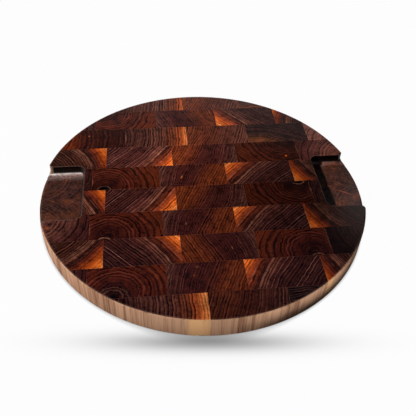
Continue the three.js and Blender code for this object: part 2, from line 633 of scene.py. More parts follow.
class Value:
    """An output socket of a node, on which Python's arithmetic adds Math nodes."""

    def __init__(self, nodes: Nodes, socket: bpy.types.NodeSocket) -> None:
        """Keeps the socket and the tree that it belongs to."""
        self.nodes = nodes
        self.socket = socket

    __add__ = math_node("ADD")
    __radd__ = math_node("ADD", swapped=True)
    __sub__ = math_node("SUBTRACT")
    __rsub__ = math_node("SUBTRACT", swapped=True)
    __mul__ = math_node("MULTIPLY")
    __rmul__ = math_node("MULTIPLY", swapped=True)
    __truediv__ = math_node("DIVIDE")
    __pow__ = math_node("POWER")
    __rpow__ = math_node("POWER", swapped=True)
    __abs__ = math_node("ABSOLUTE")
    whole = math_node("FLOOR")  # rounds down
    part = math_node("FRACT")  # keeps what is left after rounding down
    most = math_node("MAXIMUM")  # keeps the larger of two values

    def rise(self, low: float, high: float) -> Value:
        """Rises smoothly from 0 at one value to 1 at another.

        Args:
            low: Where the rise starts.
            high: Where it ends.

        Returns:
            The risen value.
        """
        settings = {"interpolation_type": "SMOOTHSTEP", "clamp": True}
        inputs = {"Value": self, "From Min": low, "From Max": high}
        return self.nodes.add("ShaderNodeMapRange", settings, inputs)


class Nodes:
    """A node tree that is being built."""

    def __init__(self, tree: bpy.types.NodeTree) -> None:
        """Starts on an empty tree."""
        self.tree = tree
        tree.nodes.clear()

    def add(
        self, kind: str, settings: dict | None = None, inputs: dict | None = None, output: int | str = 0
    ) -> Value:
        """Adds a node.

        Args:
            kind: The node's type.
            settings: The node's own settings, with a colour ramp's stops under "stops".
            inputs: Values or links of its sockets, by name or number.
            output: The output that is wanted.

        Returns:
            That output.
        """
        node = self.tree.nodes.new(kind)
        for name, value in (settings or {}).items():
            if name == "stops":
                self._set_stops(node.color_ramp, value)
            else:
                setattr(node, name, value)
        for key, value in (inputs or {}).items():
            if isinstance(value, Value):
                self.tree.links.new(value.socket, node.inputs[key])
            else:
                node.inputs[key].default_value = value
        return Value(self, node.outputs[output] if node.outputs else None)

    @staticmethod
    def _set_stops(ramp: bpy.types.ColorRamp, stops: list[tuple[float, tuple[float, ...]]]) -> None:
        """Gives a colour ramp its stops, each a position and a colour."""
        while len(ramp.elements) < len(stops):
            ramp.elements.new(1.0)
        for element, (position, colour) in zip(ramp.elements, stops):
            element.position = position
            element.color = colour

    def vector(self, operation: str, first: object, second: object, output: str = "Vector") -> Value:
        """Adds a Vector Math node."""
        return self.add("ShaderNodeVectorMath", {"operation": operation}, {0: first, 1: second}, output)

    def blend(self, first: object, second: object, share: Value | float, mode: str = "MIX") -> Value:
        """Mixes two colours, of which the second has the given share."""
        settings = {"data_type": "RGBA", "blend_type": mode}
        return self.add("ShaderNodeMix", settings, {0: share, 6: first, 7: second}, 2)

    def axis(self, place: Value, name: str) -> Value:
        """Takes one coordinate of a place: X, Y or Z."""
        return self.add("ShaderNodeSeparateXYZ", None, {0: place}, name)

    def plan_length(self, place: Value) -> Value:
        """Measures how far a place lies from the origin, seen from above."""
        return self.vector("LENGTH", self.vector("MULTIPLY", place, (1, 1, 0)), (0, 0, 0), "Value")

    def attribute(self, name: str, output: str = "Vector") -> Value:
        """Reads what a block's mesh tells its wood."""
        return self.add("ShaderNodeAttribute", {"attribute_name": name}, output=output)

    def here(self, kind: str = "Object") -> Value:
        """Reads a coordinate of the shaded point, which is its place in the object if no other is named."""
        return self.add("ShaderNodeTexCoord", output=kind)

    def noise(self, place: Value, across: float, along: float, detail: float, output: str = "Fac") -> Value:
        """Adds noise over a place in the wood.

        Args:
            place: The place in millimetres.
            across: Waves in a millimetre across the log.
            along: Waves in a millimetre along it.
            detail: How many finer layers are added.
            output: "Fac" for one value, "Color" for three.

        Returns:
            The noise, from 0 to 1.
        """
        scaled = self.vector("MULTIPLY", place, (across, across, along))
        inputs = {"Vector": scaled, "Scale": 1.0, "Detail": detail}
        return self.add("ShaderNodeTexNoise", None, inputs, output)

    def noise_along(self, place: Value, detail: float) -> Value:
        """Adds noise along one line, which swings about zero."""
        inputs = {"W": place, "Scale": 1.0, "Detail": detail}
        return self.add("ShaderNodeTexNoise", {"noise_dimensions": "1D"}, inputs) - 0.5

    def chance(self, number: Value) -> Value:
        """Draws a steady chance value for each whole number."""
        return self.add("ShaderNodeTexWhiteNoise", {"noise_dimensions": "1D"}, {"W": number})


def paint(code: str) -> tuple[float, float, float, float]:
    """Turns a colour as it shows on a screen into the shader's linear one.

    Args:
        code: The colour as six hexadecimal digits.

    Returns:
        Linear red, green, blue and full alpha.
    """
    shown = [int(code[i : i + 2], 16) / 255 for i in (0, 2, 4)]
    linear = [c / 12.92 if c <= 0.04045 else ((c + 0.055) / 1.055) ** 2.4 for c in shown]
    return (*linear, 1.0)


Band = tuple[float, float]  # where a smooth rise starts and where it ends


@dataclass(frozen=True)
class Texture:
    """Noise over the wood."""

    across: float  # waves in a millimetre across the log
    along: float  # waves in a millimetre along it
    detail: float
    band: Band | None = None  # noise at which a patch starts and at which it is full

    def over(self, grain: Value) -> Value:
        """Lays the noise over the wood, as patches from 0 to 1 or else as a swing about zero."""
        noise = grain.nodes.noise(grain, self.across, self.along, self.detail)
        return noise.rise(*self.band) if self.band else noise - 0.5


# Textures of the end grain
PATCHES = Texture(0.06, 0.01, 2.0, (0.25, 0.75))
MOTTLE = Texture(0.10, 0.02, 3.0)
FLECKS = Texture(0.38, 0.02, 3.0)
PORES = Texture(1.7, 0.03, 1.0, (0.60, 0.72))
RAGGED_EDGE = Texture(0.45, 0.02, 1.0)

# Textures of the pockets' floors
FLOOR_PATCHES = Texture(0.05, 0.01, 3.0, (0.35, 0.72))
FLOOR_TEARS = Texture(0.5, 0.05, 3.0, (0.52, 0.68))

# Textures of the long grain
RIM_PATCHES = Texture(0.055, 0.004, 2.0)
RIM_STREAKS = Texture(0.34, 0.008, 3.0)
RIM_BANDS = Texture(0.15, 0.004, 1.0, (0.62, 0.72))
RIM_HAIRS = Texture(1.3, 0.03, 2.0)

# Bands that tell a surface's turn by how far up or down it faces
END_FACING = (0.8, 0.98)  # from long grain to end grain
FLAT_FACING = (0.9, 0.995)  # from an eased edge to a flat face
WALL_FACING = (0.1, 0.4)  # from a wall to its cove
COVE_LIFT = 0.35  # a pocket's coves count as facing this much farther up

WORN_EDGE = (200.0, 201.5)  # distance from the board's axis over which its face is worn dull

# A mark of one strip fades in before the strip starts along the log, and out past its end
MARK_STARTS = (-1.5, -0.5)
MARK_ENDS = (29.0, 30.0)
HOLLOW_EDGE = 0.12  # share of a mark's reach over which its hollow fades

RAGGED_DEPTH = 0.35  # how deep the ragged edge bites into a mark

# Shares of a ring's growth over which its lines rise and end, and where their chances are drawn from
DARK_RISES, DARK_ENDS, DARK_SEED = (0.42, 0.80), (0.92, 1.0), 7.3
PALE_RISES, PALE_ENDS, PALE_SEED = (0.0, 0.06), (0.12, 0.34), 91.7
BOLD_RING_EDGE = (0.3, 1.0)  # shares of a bold ring's width over which it fades

# Waves in a millimetre, and how far the rings sway with them in a wood whose wobble is 1
WANDERINGS = ((0.028, 4.0), (0.09, 2.0), (0.3, 0.5))
WANDER_ALONG = 0.15  # how fine a wave is along the log, against across it


@dataclass(frozen=True)
class PocketColoursAndPaintedLight:
    """Colours of the finger pockets, with their painted shade and painted highlights, and the bands over
    which these fade, in millimetres.
    """

    calm: float = 0.3  # how much of the ring lines the cutter has dulled
    floor: str = "3c2521"
    floor_patch: str = "6c3824"
    floor_tear: str = "84665a"
    tear_share: float = 0.3
    floor_share: float = 0.6  # how much the floor's own colour hides of the figure
    floor_height: Band = (20.0, 23.0)  # above the underside, where the floor's cove has turned into a wall
    # painted shade: the walls inside the pockets are coloured near black, as they stand in shadow
    wall: str = "080403"
    wall_reach: Band = (195.0, 202.0)  # from the board's axis, where the walls' painted shade ends
    lip: str = "5e4232"
    lip_share: float = 0.85
    # painted highlight: a pale band on each floor along the side walls' feet, and a brighter line right at
    # the wall
    foot_highlight: str = "84706a"
    foot_highlight_band: Band = (33.5, 45.0)  # from the pocket's middle line
    corner: str = "c8bcb8"
    corner_highlight_band: Band = (45.5, 48.0)  # from the pocket's middle line
    inner_shade_band: Band = (151.5, 154.5)  # from the board's middle line, where the painted shadow beside each end wall fades
    inner_shade_share: float = 0.9
    flare: float = 12.0  # how far the right-hand pocket's painted highlights swing out on their way to the rim
    flare_band: Band = (160.0, 190.0)

    def floor_colour(self, grain: Value) -> Value:
        """Colours a floor, where the cutter has dulled the figure into soft patches.

        Args:
            grain: Place in the board.

        Returns:
            The colour.
        """
        nodes = grain.nodes
        colour = nodes.blend(paint(self.floor), paint(self.floor_patch), FLOOR_PATCHES.over(grain))
        torn = FLOOR_TEARS.over(grain)
        return nodes.blend(colour, paint(self.floor_tear), torn * self.tear_share)

    def with_painted_highlights_and_shade(self, colour: Value, place: Value, milled: Value, flecks: Value) -> Value:
        """Lays painted highlights along the feet of the side walls, and a painted shadow beside the end wall,
        over a floor.

        Args:
            colour: The end grain's colour.
            place: Place on the board in millimetres.
            milled: Whether the surface is milled.
            flecks: The wood's flecks.

        Returns:
            The colour with the painted highlights and shadow.
        """
        nodes = place.nodes
        to_right = nodes.axis(place, "X")
        from_middle = abs(nodes.axis(place, "Y")) - to_right.rise(*self.flare_band) * self.flare
        on_floor = milled * (1 - nodes.axis(place, "Z").rise(*self.floor_height))
        # painted highlight: a pale band and a brighter line along the foot of each side wall
        foot_highlight = from_middle.rise(*self.foot_highlight_band) * on_floor
        colour = nodes.blend(colour, paint(self.foot_highlight), foot_highlight * (0.5 + flecks * 1.8))
        corner = from_middle.rise(*self.corner_highlight_band) * on_floor
        colour = nodes.blend(colour, paint(self.corner), corner * (0.45 + flecks * 1.5))
        # painted shadow: the floor beside each end wall is darkened to the walls' near-black, where the end
        # wall casts its shadow
        inner_shade = (1 - abs(to_right).rise(*self.inner_shade_band)) * on_floor
        return nodes.blend(colour, paint(self.wall), inner_shade * self.inner_shade_share)


POCKET = PocketColoursAndPaintedLight()


@dataclass(frozen=True)
class Zone:
    """Look of the end grain at one distance from the pith."""

    radius: float
    colour: str
    dark_lines: float  # how strongly the rings' dark lines show
    pale_lines: float  # how strongly their pale lines show


@dataclass(frozen=True)
class Ring:
    """One bold ring, which every strip of its board shows."""

    radius: float
    width: float
    colour: str
    strength: float


@dataclass(frozen=True)
class Mark:
    """A small mark in the wood: an oval spot, or a thin oval ring where it is hollow."""

    place: tuple[float, float]
    size: tuple[float, float]
    colour: str
    strip: str = ""  # the one strip that shows it; all of them where this is empty
    turn: float = 0.0
    softness: float = 0.5
    hollow: float = 0.0  # share of the oval that stays clear
    strength: float = 1.0


@dataclass(frozen=True)
class OiledWood:
    """Oiled wood of one board: dark, figured end grain and paler long grain."""

    board: str
    pith: tuple[float, float]
    ring_width: float
    zones: tuple[Zone, ...]
    rings: tuple[Ring, ...] = ()
    marks: tuple[Mark, ...] = ()
    sapwood: float = 1000.0  # distance from the pith at which the sapwood starts
    wobble: float = 1.3
    uneven: float = 1.1  # how far ring widths vary
    # partly painted highlight: the pale ring lines stand for the earlywood and for the gloss on it
    pale_line_and_gloss: str = "764838"
    dark_line: str = "4c3c3a"  # tint that a ring's dark line gives the wood
    long_grain: str = "ac8468"
    long_grain_dark: str = "6c452f"
    long_grain_sap: str = "c8986a"
    sap_fade: float = 9.0  # width of the long grain's change to sapwood
    fine_lines: float = 1.9  # fine lines in each ring
    ring_steps: float = 0.6  # share of the zones' colour that steps from ring to ring
    least_tone: float = 0.15
    roughness: float = 0.13  # of the oiled faces
    edge_roughness: float = 0.8  # what the eased edges add to it
    specular: float = 0.25
    relief: float = 0.02  # height of the grain's relief
    relief_strength: float = 0.3

    def material(self) -> bpy.types.Material:
        """Builds the wood's material.

        Returns:
            The material, which reads the grain that each block's mesh holds.
        """
        made = bpy.data.materials.new(f"oiled_wood_{self.board}")
        made.use_nodes = True
        nodes = Nodes(made.node_tree)
        grain = nodes.attribute(GRAIN)
        pith = nodes.attribute(PITH)
        milled = nodes.attribute(MILLED, "Fac")
        place = nodes.vector("DIVIDE", nodes.here(), (MM, MM, MM))
        from_axis = nodes.plan_length(place)
        in_pocket = milled * (1 - from_axis.rise(*POCKET.wall_reach))
        facing = abs(nodes.axis(nodes.here("Normal"), "Z"))
        mottle = MOTTLE.over(grain)
        flecks = FLECKS.over(grain)
        pores = PORES.over(grain)
        patchy = PATCHES.over(grain) * 0.8 + 0.6  # how strong the lines are, from patch to patch

        radius = self._ring_radius(grain, pith)
        number, age = self._ring_count(radius)
        dark = self._dark_lines(number, age) * patchy
        pale = self._pale_lines(number, age) * patchy
        fine = nodes.noise_along(radius * (self.fine_lines / self.ring_width), 2.0)
        stepped = radius * (1 - self.ring_steps) + (number + 0.5) * (self.ring_steps * self.ring_width)
        calm = 1 - milled * POCKET.calm
        end_grain = self._end_grain(stepped, dark * calm, pale * calm)
        for ring in self.rings:
            nearness = 1 - (abs(radius - ring.radius) / ring.width).rise(*BOLD_RING_EDGE)
            end_grain = nodes.blend(end_grain, paint(ring.colour), nearness * patchy * calm * ring.strength)
        end_grain = nodes.blend(end_grain, POCKET.floor_colour(grain), milled * POCKET.floor_share)
        tone = 1.1 + (fine * 2.5 + mottle * 2.2) * calm + flecks * 2.0 - pores * 0.25
        # the strip's tone, which the pith's Z carries, is partly painted light
        tone = tone.most(self.least_tone) * nodes.axis(pith, "Z")
        end_grain = nodes.blend(end_grain, tone, 1.0, "MULTIPLY")
        end_grain = self._with_marks(end_grain, grain)
        # painted highlights along the side walls' feet and painted shadow beside the end walls
        end_grain = POCKET.with_painted_highlights_and_shade(end_grain, place, milled, flecks)

        long_grain = self._long_grain(grain, radius, dark, fine)
        long_grain = nodes.blend(long_grain, paint(POCKET.lip), milled * POCKET.lip_share)
        # painted shade: the pocket walls take a near-black colour
        long_grain = nodes.blend(long_grain, paint(POCKET.wall), in_pocket)
        is_end = (facing + in_pocket * COVE_LIFT).rise(*END_FACING)
        colour = nodes.blend(long_grain, end_grain, is_end)

        height = 0.5 + fine * 0.5 + dark * 0.3 - pores * 0.6
        relief = {"Strength": self.relief_strength, "Distance": self.relief * MM, "Height": height}
        worn = (1 - facing.rise(*FLAT_FACING)).most(from_axis.rise(*WORN_EDGE))
        wall = in_pocket * (1 - facing.rise(*WALL_FACING))
        roughness = self.roughness + pores * 0.12 + mottle * 0.08 + worn * (1 - wall) * self.edge_roughness
        sockets = {
            "Base Color": colour,
            "Roughness": roughness,
            "Specular IOR Level": self.specular,
            "Normal": nodes.add("ShaderNodeBump", None, relief),
        }
        shader = nodes.add("ShaderNodeBsdfPrincipled", None, sockets)
        nodes.add("ShaderNodeOutputMaterial", None, {"Surface": shader})
        return made

    def _ring_radius(self, grain: Value, pith: Value) -> Value:
        """Measures the distance from the pith, along rings that wander a little.

        Args:
            grain: Place in the board.
            pith: Place of the pith.

        Returns:
            The distance in millimetres.
        """
        nodes = grain.nodes
        offset = nodes.vector("SUBTRACT", grain, pith)
        for wave, sway in WANDERINGS:
            reach = sway * self.wobble
            wander = nodes.noise(grain, wave, WANDER_ALONG * wave, 1.0, "Color")
            wander = nodes.vector("SUBTRACT", wander, (0.5, 0.5, 0.5))
            offset = nodes.vector("ADD", offset, nodes.vector("MULTIPLY", wander, (reach, reach, 0)))
        return nodes.plan_length(offset)

    def _ring_count(self, radius: Value) -> tuple[Value, Value]:
        """Counts the rings out from the pith, in widths that vary.

        Args:
            radius: Distance from the pith.

        Returns:
            The ring's number, and the share of it that has grown.
        """
        rings = radius / self.ring_width
        rings = rings + radius.nodes.noise_along(rings * 0.45, 1.0) * self.uneven
        return rings.whole(), rings.part()

    @staticmethod
    def _dark_lines(number: Value, age: Value) -> Value:
        """Draws the dark line that ends each ring."""
        boldness = 0.35 + 0.65 * number.nodes.chance(number + DARK_SEED) ** 1.2
        return age.rise(*DARK_RISES) * (1 - age.rise(*DARK_ENDS)) * boldness

    @staticmethod
    def _pale_lines(number: Value, age: Value) -> Value:
        """Draws the pale line that starts some rings, which partly paints the gloss on raised earlywood."""
        boldness = number.nodes.chance(number + PALE_SEED) ** 1.4
        return age.rise(*PALE_RISES) * (1 - age.rise(*PALE_ENDS)) * boldness

    def _end_grain(self, radius: Value, dark: Value, pale: Value) -> Value:
        """Colours the end grain by its zones and draws the ring lines over them.

        Args:
            radius: Distance from the pith.
            dark: The dark lines.
            pale: The pale lines.

        Returns:
            The colour.
        """
        nodes = radius.nodes
        first, last = self.zones[0].radius, self.zones[-1].radius
        share = (radius - first) / (last - first)
        places = [(zone.radius - first) / (last - first) for zone in self.zones]
        colours = [paint(zone.colour) for zone in self.zones]
        strengths = [(zone.dark_lines, zone.pale_lines, 0.0, 1.0) for zone in self.zones]
        ground = nodes.add("ShaderNodeValToRGB", {"stops": list(zip(places, colours))}, {0: share})
        lines = nodes.add("ShaderNodeValToRGB", {"stops": list(zip(places, strengths))}, {0: share})
        dark_share = nodes.add("ShaderNodeSeparateColor", None, {0: lines}, "Red")
        pale_share = nodes.add("ShaderNodeSeparateColor", None, {0: lines}, "Green")
        shaded = nodes.blend(ground, paint(self.dark_line), 1.0, "MULTIPLY")
        colour = nodes.blend(ground, shaded, dark * dark_share)
        # the pale lines partly paint the gloss on raised earlywood
        return nodes.blend(colour, paint(self.pale_line_and_gloss), pale * pale_share)

    def _long_grain(self, grain: Value, radius: Value, dark: Value, fine: Value) -> Value:
        """Colours the long grain that shows on the rim, streaked along the log.

        Args:
            grain: Place in the board.
            radius: Distance from the pith.
            dark: The dark lines.
            fine: The fine lines.

        Returns:
            The colour.
        """
        nodes = grain.nodes
        patches = RIM_PATCHES.over(grain)
        streaks = RIM_STREAKS.over(grain)
        hairs = RIM_HAIRS.over(grain)
        depth = (0.36 + patches * 2.2 + streaks * 1.4 + hairs * 1.2 + dark * 0.12 + fine * 0.3).rise(0.0, 1.0)
        depth = depth.most(RIM_BANDS.over(grain) * 0.75)
        is_sap = radius.rise(self.sapwood, self.sapwood + self.sap_fade)
        ground = nodes.blend(paint(self.long_grain), paint(self.long_grain_sap), is_sap)
        return nodes.blend(ground, paint(self.long_grain_dark), depth * (1 - is_sap * 0.6))

    def _with_marks(self, colour: Value, grain: Value) -> Value:
        """Lays the board's small marks over its end grain.

        Args:
            colour: The end grain's colour.
            grain: Place in the board.

        Returns:
            The colour with the marks.
        """
        nodes = grain.nodes
        along = nodes.axis(grain, "Z")
        ragged = RAGGED_EDGE.over(grain)
        for mark in self.marks:
            inputs = {
                "Vector": grain,
                "Location": (*mark.place, 0),
                "Rotation": (0, 0, math.radians(mark.turn)),
                "Scale": (*mark.size, 1),
            }
            local = nodes.add("ShaderNodeMapping", {"vector_type": "TEXTURE"}, inputs)
            reach = nodes.plan_length(local) + ragged * RAGGED_DEPTH
            share = (1 - reach.rise(1 - mark.softness, 1)) * mark.strength
            if mark.hollow:
                share = share * reach.rise(mark.hollow, mark.hollow + HOLLOW_EDGE)
            if mark.strip:
                depth = along - STRIPS[mark.strip].along
                share = share * depth.rise(*MARK_STARTS) * (1 - depth.rise(*MARK_ENDS))
            colour = nodes.blend(colour, paint(mark.colour), share)
        return colour


WOODS = (
    OiledWood(
        "a",
        (-110.0, -47.0),
        3.6,
        (
            Zone(40, "301a15", 0.5, 0.1),
            Zone(78, "351910", 0.9, 0.3),
            Zone(98, "3c1a12", 0.9, 0.7),
            Zone(104, "3a1710", 0.9, 0.5),
            Zone(110, "561f10", 0.8, 0.4),
            Zone(116, "863310", 0.6, 0.3),
            Zone(122, "b04c15", 0.5, 0.3),
            Zone(132, "da7630", 0.4, 0.3),
        ),
        rings=(
            Ring(91.5, 0.8, "6a4032", 0.6),
            Ring(95.6, 0.7, "784a3a", 0.6),
            Ring(99.3, 0.8, "8a563e", 0.8),
            Ring(102.5, 1.3, "1a0908", 0.7),
        ),
        sapwood=112,
    ),
    OiledWood(
        "b",
        (-157.8, 170.0),
        3.55,
        (
            Zone(212, "331410", 0.8, 0.25),
            Zone(236, "321511", 0.85, 0.55),
            Zone(258, "361612", 0.85, 0.9),
            Zone(274, "451d17", 0.85, 1.0),
            Zone(284, "642612", 0.8, 0.7),
            Zone(291, "8c3614", 0.7, 0.5),
            Zone(300, "c8591c", 0.6, 0.5),
            Zone(310, "f28640", 0.5, 0.5),
        ),
        rings=(
            Ring(269.0, 1.1, "6a4032", 0.6),
            Ring(272.8, 1.1, "6e4436", 0.6),
            Ring(276.4, 1.2, "80503c", 0.8),
            Ring(278.8, 1.0, "180807", 0.8),
            Ring(281.6, 1.5, "200c0a", 0.7),
        ),
        sapwood=290,
        pale_line_and_gloss="82544a",
    ),
    OiledWood(
        "c",
        (-114.3, 60.0),
        3.4,
        (
            Zone(118, "5e2611", 0.8, 0.2),
            Zone(142, "602812", 0.8, 0.2),
            Zone(156, "4e1e10", 0.8, 0.3),
            Zone(166, "3a1611", 0.8, 0.3),
            Zone(192, "391512", 0.8, 0.5),
            Zone(202, "3e1d18", 0.8, 0.8),
            Zone(212, "482620", 0.8, 1.0),
        ),
        marks=(
            Mark((58, 3), (0.9, 4.0), "a0642c", "back_row1", turn=-24),
            Mark((59, 2.2), (0.8, 3.4), "76482a", "front_row2", turn=-6),
            Mark((57.7, 2.4), (0.8, 3.4), "76482a", "front_row3", turn=-6),
            Mark((63.5, -3.5), (9.0, 5.0), "180a09", "front_row4", turn=50, softness=0.9, strength=0.85),
            Mark((52.0, -14.6), (3.4, 2.2), "6e3a1e", "front_row4", softness=0.8, strength=0.8),
            Mark((56.5, -3.0), (2.0, 1.8), "7c401c", "front_row4", softness=0.8, strength=0.7),
            Mark((20.5, -26.8), (7.0, 3.0), "1c0c09", "back_row4", softness=0.9, strength=0.7),
        ),
        wobble=1.9,
    ),
    OiledWood(
        "d",
        (69.6, 19.0),
        4.5,
        (
            Zone(0, "160807", 0.3, 0.0),
            Zone(6, "240c08", 0.6, 0.0),
            Zone(14, "310f09", 0.7, 0.1),
            Zone(30, "3d140b", 0.75, 0.2),
            Zone(46, "43170b", 0.7, 0.2),
            Zone(64, "4c1c0c", 0.7, 0.2),
            Zone(92, "4b1e0d", 0.7, 0.1),
        ),
        rings=(
            Ring(17.0, 2.6, "1c0807", 0.7),
            Ring(46.5, 1.9, "170706", 0.8),
            Ring(55.0, 1.4, "2a0d08", 0.6),
        ),
        marks=(
            Mark((71.4, 20.6), (9.0, 6.6), "8e5c48", "front_row1", softness=0.3, hollow=0.72),
            Mark((70.2, 20.6), (7.6, 5.0), "020202", "front_row1", softness=0.2),
            Mark((59.6, 14.2), (3.4, 3.8), "100504", "front_row1", softness=0.8),
            Mark((69.8, 20.4), (8.8, 7.6), "6e4a34", "back_row1", softness=0.3, hollow=0.78),
            Mark((69.8, 20.4), (7.6, 6.4), "020202", "back_row1", softness=0.2),
            Mark((60.8, 10.9), (3.6, 3.2), "100504", "back_row1", softness=0.8),
            Mark((67.8, 21.8), (7.8, 4.6), "8a5a46", "front_row2", softness=0.25, hollow=0.66),
            Mark((60.8, 14.2), (4.2, 4.2), "0c0403", "front_row2", softness=0.8),
            Mark((67.6, 22.4), (7.8, 5.2), "7a4c36", "front_row3", softness=0.25, hollow=0.66),
            Mark((59.6, 15.4), (4.0, 4.0), "0c0403", "front_row3", softness=0.8),
            Mark((57.0, 19.0), (17.0, 14.0), "5e4238", "front_row4", softness=0.1, hollow=0.84, strength=0.7),
            Mark((57.0, 19.0), (12.0, 10.0), "5e4238", "front_row4", softness=0.1, hollow=0.80, strength=0.7),
            Mark((56.0, 19.0), (7.0, 6.0), "0c0403", "front_row4", softness=0.7),
            Mark((67.1, -10.8), (1.7, 1.9), "ff7008", "back_row2", softness=0.7),
            Mark((84.1, 4.0), (0.7, 13.0), "7a4832", softness=0.8, strength=0.6),
        ),
        wobble=2.7,
        uneven=2.1,
    ),
    OiledWood(
        "e",
        (69.8, -17.0),
        4.8,
        (
            Zone(0, "3e2018", 0.2, 0.1),
            Zone(22, "4c2920", 0.25, 0.1),
            Zone(42, "42231d", 0.35, 0.1),
            Zone(62, "301310", 0.8, 0.2),
            Zone(80, "260f0c", 0.8, 0.1),
        ),
        marks=(
            Mark((46.0, -7.8), (5.5, 4.0), "1c0c0a", "front_row2", turn=30, softness=0.9),
            Mark((48.0, -1.8), (3.2, 2.6), "7a3618", "front_row2", softness=0.9),
            Mark((48.3, 8.4), (14.0, 0.9), "c8623a", "front_row1", turn=-33, softness=0.8),
        ),
    ),
    OiledWood(
        "f",
        (-150.0, 4.0),
        5.5,
        (
            Zone(60, "5c2008", 0.6, 0.0),
            Zone(80, "5c2108", 0.8, 0.0),
            Zone(92, "3a1208", 0.8, 0.0),
            Zone(112, "341008", 0.8, 0.1),
            Zone(150, "2c0e09", 0.8, 0.1),
        ),
        marks=(Mark((-49.8, 7.4), (1.4, 1.4), "a04c18", "back_row3", softness=0.7),),
        wobble=2.2,
    ),
    OiledWood(
        "g",
        (-112.0, 3.0),
        3.9,
        (
            Zone(112, "321611", 0.9, 0.2),
            Zone(140, "44221a", 0.9, 0.5),
            Zone(160, "502a20", 0.9, 0.7),
            Zone(172, "542617", 0.9, 0.5),
            Zone(182, "682e17", 0.8, 0.4),
            Zone(189, "903f1c", 0.7, 0.3),
            Zone(194, "bc622e", 0.6, 0.4),
            Zone(199, "d88044", 0.5, 0.4),
        ),
        marks=(Mark((0.6, 0.0), (0.8, 14.0), "7a4c3c", "back_row3", softness=0.6),),
        sapwood=174,
    ),
    OiledWood(
        "h",
        (-137.0, 60.0),
        3.5,
        (
            Zone(145, "5e2a15", 0.9, 0.2),
            Zone(170, "582615", 0.9, 0.4),
            Zone(197, "502418", 0.9, 0.6),
            Zone(224, "562d22", 0.9, 1.0),
        ),
    ),
    OiledWood(
        "i",
        (28.0, -150.0),
        3.6,
        (
            Zone(128, "6a3a20", 0.8, 0.1),
            Zone(140, "38201c", 1.0, 0.4),
            Zone(172, "301a18", 1.0, 0.4),
        ),
        marks=(Mark((15.3, -16.0), (15.0, 4.0), "8a4c36", "back_row3", softness=0.9, strength=0.8),),
        wobble=2.6,
    ),
    # partly painted sheen: j, at the back right, is made lighter and greyer
    OiledWood(
        "j",
        (59.0, -30.0),
        4.5,
        (
            Zone(0, "6a3e30", 0.25, 0.1),
            Zone(60, "70443a", 0.3, 0.2),
        ),
    ),
)


@dataclass(frozen=True)
class Lamp:
    """An area lamp."""

    name: str
    place: tuple[float, float, float]
    aim: tuple[float, float, float]
    size: tuple[float, float]
    power: float  # in watts
    spread: float = 180.0  # the angle that its beam fans out to, in degrees

    def build(self) -> None:
        """Adds the lamp, facing the point that it is aimed at."""
        light = bpy.data.lights.new(self.name, "AREA")
        light.shape = "RECTANGLE"
        light.size, light.size_y = self.size[0] * MM, self.size[1] * MM
        light.energy = self.power
        light.spread = math.radians(self.spread)
        holder = bpy.data.objects.new(self.name, light)
        bpy.context.scene.collection.objects.link(holder)
        toward = Vector(self.aim) - Vector(self.place)
        holder.location = Vector(self.place) * MM
        holder.rotation_euler = toward.to_track_quat("-Z", "Y").to_euler()


LAMPS = (
    Lamp("key", (-870.0, 30.0, 784.0), (-110.0, 30.0, 20.0), (90.0, 90.0), 1.28, 46.0),
    Lamp("rim_card", (-413.0, -687.0, 30.0), (-131.0, -157.0, 30.0), (345.0, 60.0), 0.061, 6.7),
    Lamp("rim_strip", (350.0, -606.0, 35.2), (100.0, -173.0, 35.2), (145.0, 6.0), 0.0205, 6.9),
    Lamp("back_card", (-70.0, 797.0, 9.0), (0.0, 100.0, 9.0), (500.0, 12.0), 1.2, 90.0),
    Lamp("side_card", (613.0, 514.0, 9.0), (150.0, 130.0, 9.0), (400.0, 12.0), 0.35, 90.0),
    Lamp("window", (2963.0, 3660.0, 3719.0), (0.0, 0.0, 0.0), (1685.0, 1115.0), 4.2),
)


